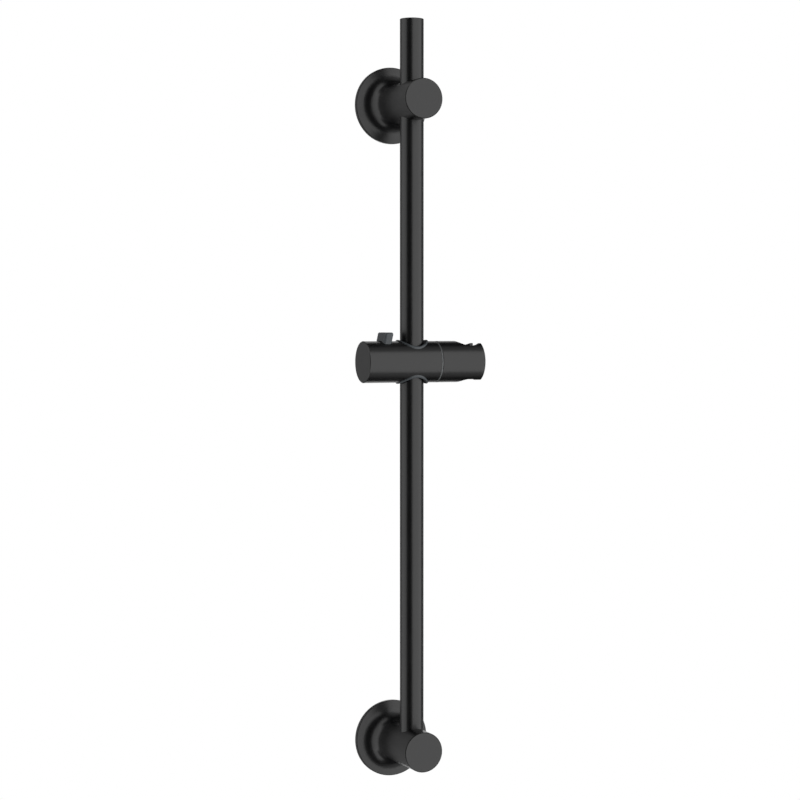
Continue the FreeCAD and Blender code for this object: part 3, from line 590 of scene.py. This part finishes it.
class SLIDERAIL_OT_holder(bpy.types.Operator):
    """Coat the handset holder, and finish the washers and the screw that it turns on"""

    bl_idname = "slide_rail.holder"
    bl_label = "Handset holder"

    def execute(self, context):
        finishes = context.scene.slide_rail_finishes
        finish_nodes(["handset_holder"], satin_black_coat(finishes))
        washer = moulded_plastic("moulded_grey_washer", finishes, finishes.washer, finishes.plunger,
                                 rough=0.42, relief=0.05)
        finish_nodes(["friction_washer"], washer)
        steel = drawn_stainless_steel(finishes)
        finish_nodes(["pivot_spring_washer"], steel)
        self.screw(context, steel)
        return {"FINISHED"}

    def screw(self, context, steel):
        """A screw with a round head: bevelled end, shank, and head with bevelled rim."""
        fasteners = context.scene.slide_rail_fasteners
        low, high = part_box("pivot_screw")
        shank = fasteners.pivot_radius
        head = (high.y - low.y) / 2
        tall = high.x - low.x
        seat = tall - fasteners.pivot_head
        bevel = fasteners.point / 2
        outline = [(shank - bevel, 0), (shank, bevel), (shank, seat),
                   (head, seat + SEAT_RISE), (head, tall - bevel), (head - bevel, tall)]
        points = screw_points(fasteners, outline, fasteners.pivot_pitch, fasteners.pivot_thread,
                              2 * head * fasteners.socket_share)
        origin = (low.x, (low.y + high.y) / 2, (low.z + high.z) / 2)
        screw = closed_tube("pivot_socket_screw", placed(points, origin, ALONG_X), steel, SCREW_EDGE)
        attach(screw, "slider")
        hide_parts("pivot_screw")


class SLIDERAIL_OT_stage(bpy.types.Operator):
    """Set up the pale floor, the white backdrop, the soft boxes and the camera"""

    bl_idname = "slide_rail.stage"
    bl_label = "Studio"

    def execute(self, context):
        stage = context.scene.slide_rail_stage
        context.scene.view_settings.view_transform = "Standard"
        floor = self.floor(context, stage)
        self.backdrop(context, stage)
        self.soft_boxes(context, floor)
        self.ceiling_light(context, stage, floor)
        self.camera(context, stage)
        return {"FINISHED"}

    def floor(self, context, stage):
        """Disc of rings: radius along one parameter, turn along the other."""
        turn = np.linspace(0, FULL_TURN, FLOOR_STEPS, endpoint=False)
        reach = np.linspace(FLOOR_MIDDLE, 1, FLOOR_RINGS)[:, None] * stage.floor_radius
        level = np.full((FLOOR_RINGS, FLOOR_STEPS), -stage.floor_drop)
        points = np.stack([reach * np.cos(turn), reach * np.sin(turn), level], axis=-1)
        middle = list(range(FLOOR_STEPS - 1, -1, -1))
        faces = grid_faces(FLOOR_RINGS, FLOOR_STEPS).tolist() + [middle]
        mesh = bpy.data.meshes.new("floor")
        mesh.from_pydata(points.reshape(-1, 3).tolist(), [], faces)
        mesh.update()
        mesh.materials.append(pale_matt_screed(stage))
        floor = bpy.data.objects.new("floor", mesh)
        context.scene.collection.objects.link(floor)
        floor.visible_glossy = False
        floor.visible_shadow = False
        return floor

    def floor_group(self, name, floor, state):
        """A group of the floor alone, which a light either lights and nothing else, or leaves out."""
        group = bpy.data.collections.new(name)
        group.objects.link(floor)
        group.collection_objects[0].light_linking.link_state = state
        return group

    def backdrop(self, context, stage):
        """White all round for the camera, and a dim room in what the part mirrors."""
        world = bpy.data.worlds.new("white_backdrop")
        world.use_nodes = True
        tree = world.node_tree
        tree.nodes.clear()
        seen = add_node(tree, "ShaderNodeLightPath").outputs["Is Camera Ray"]
        room = add_node(tree, "ShaderNodeBackground", inputs={
            "Color": (1, 1, 1, 1), "Strength": stage.fill})
        white = add_node(tree, "ShaderNodeBackground", inputs={
            "Color": rgba(stage.backdrop), "Strength": 1.0})
        mixed = add_node(tree, "ShaderNodeMixShader", inputs={
            "Fac": seen, FIRST_BACKGROUND: room.outputs["Background"],
            SECOND_BACKGROUND: white.outputs["Background"]})
        add_node(tree, "ShaderNodeOutputWorld", inputs={"Surface": mixed.outputs["Shader"]})
        context.scene.world = world

    def ceiling_light(self, context, stage, floor):
        """Even light from above, for the floor alone. At strength pi a matt floor shows its own colour."""
        light = bpy.data.lights.new("ceiling_light", "SUN")
        light.energy = math.pi * stage.ceiling
        light.angle = CEILING_SPREAD
        lamp = bpy.data.objects.new("ceiling_light", light)
        lamp.light_linking.receiver_collection = self.floor_group("lit_by_ceiling", floor, "INCLUDE")
        context.scene.collection.objects.link(lamp)

    def soft_boxes(self, context, floor):
        """Soft boxes all round the part, each facing its middle, unseen by the camera and by the floor."""
        middle = (CAD_BOX[0] + CAD_BOX[1]) / 2
        not_lit = self.floor_group("not_lit_by_soft_boxes", floor, "EXCLUDE")
        for box in SOFT_BOXES:
            turn = math.radians(box.turn)
            lift = math.radians(box.lift)
            level = math.cos(lift)
            away = Vector((math.sin(turn) * level, -math.cos(turn) * level, math.sin(lift)))
            light = bpy.data.lights.new(box.name, "AREA")
            light.shape = box.outline
            light.size = box.width
            light.size_y = box.height
            cloth = box.width * box.height * FILLED_SHARE[box.outline]
            light.energy = WATTS_PER_BRIGHTNESS * cloth * box.brightness
            lamp = bpy.data.objects.new(box.name, light)
            facing = away.to_track_quat("Z", "Y").to_matrix().to_4x4()
            lamp.matrix_world = Matrix.Translation(middle + away * box.distance) @ facing
            lamp.visible_camera = False
            lamp.light_linking.receiver_collection = not_lit
            context.scene.collection.objects.link(lamp)

    def camera(self, context, stage):
        """The camera, placed from the rail's axis by its turn, distance and height."""
        lens = bpy.data.cameras.new("view")
        lens.sensor_width = SENSOR_WIDTH
        lens.lens = stage.lens
        lens.shift_y = stage.shift
        camera = bpy.data.objects.new("view", lens)
        low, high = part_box("rail_tube")
        axis = Vector(((low.x + high.x) / 2, (low.y + high.y) / 2, 0))
        ahead = Vector((math.sin(stage.camera_turn), math.cos(stage.camera_turn), 0))
        right = Vector((ahead.y, -ahead.x, 0))
        camera.location = axis - ahead * stage.camera_distance - right * stage.camera_aside
        camera.location.z = stage.camera_height
        camera.rotation_euler = (math.pi / 2 - stage.camera_pitch, 0, -stage.camera_turn)
        context.scene.collection.objects.link(camera)
        context.scene.camera = camera


OPERATORS = (
    SLIDERAIL_OT_rail,
    SLIDERAIL_OT_brackets,
    SLIDERAIL_OT_slider,
    SLIDERAIL_OT_brake,
    SLIDERAIL_OT_holder,
    SLIDERAIL_OT_stage,
)


class SLIDERAIL_PT_panel(bpy.types.Panel):
    """Sidebar list of the pieces and the sizes behind them"""

    bl_idname = "SLIDERAIL_PT_panel"
    bl_label = "Slide rail"
    bl_space_type = "VIEW_3D"
    bl_region_type = "UI"
    bl_category = "Slide rail"

    def draw(self, context):
        for operator in OPERATORS:
            self.layout.operator(operator.bl_idname)
        for group in (context.scene.slide_rail_finishes, context.scene.slide_rail_fasteners,
                      context.scene.slide_rail_stage):
            box = self.layout.box()
            for name in group.__annotations__:
                box.prop(group, name)


GROUPS = {
    "slide_rail_finishes": SlideRailFinishes,
    "slide_rail_fasteners": SlideRailFasteners,
    "slide_rail_stage": SlideRailStage,
}
CLASSES = (*GROUPS.values(), *OPERATORS, SLIDERAIL_PT_panel)


def register():
    """Register the classes, and hang the settings on the scene."""
    for item in CLASSES:
        bpy.utils.register_class(item)
    for name, group in GROUPS.items():
        setattr(bpy.types.Scene, name, PointerProperty(type=group))


def unregister():
    """Take the settings off the scene, and the classes away."""
    for name in GROUPS:
        delattr(bpy.types.Scene, name)
    for item in reversed(CLASSES):
        bpy.utils.unregister_class(item)


def main():
    """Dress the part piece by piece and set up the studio."""
    register()
    bpy.ops.slide_rail.rail()
    bpy.ops.slide_rail.brackets()
    bpy.ops.slide_rail.slider()
    bpy.ops.slide_rail.brake()
    bpy.ops.slide_rail.holder()
    bpy.ops.slide_rail.stage()


if __name__ == "__main__":
    main()
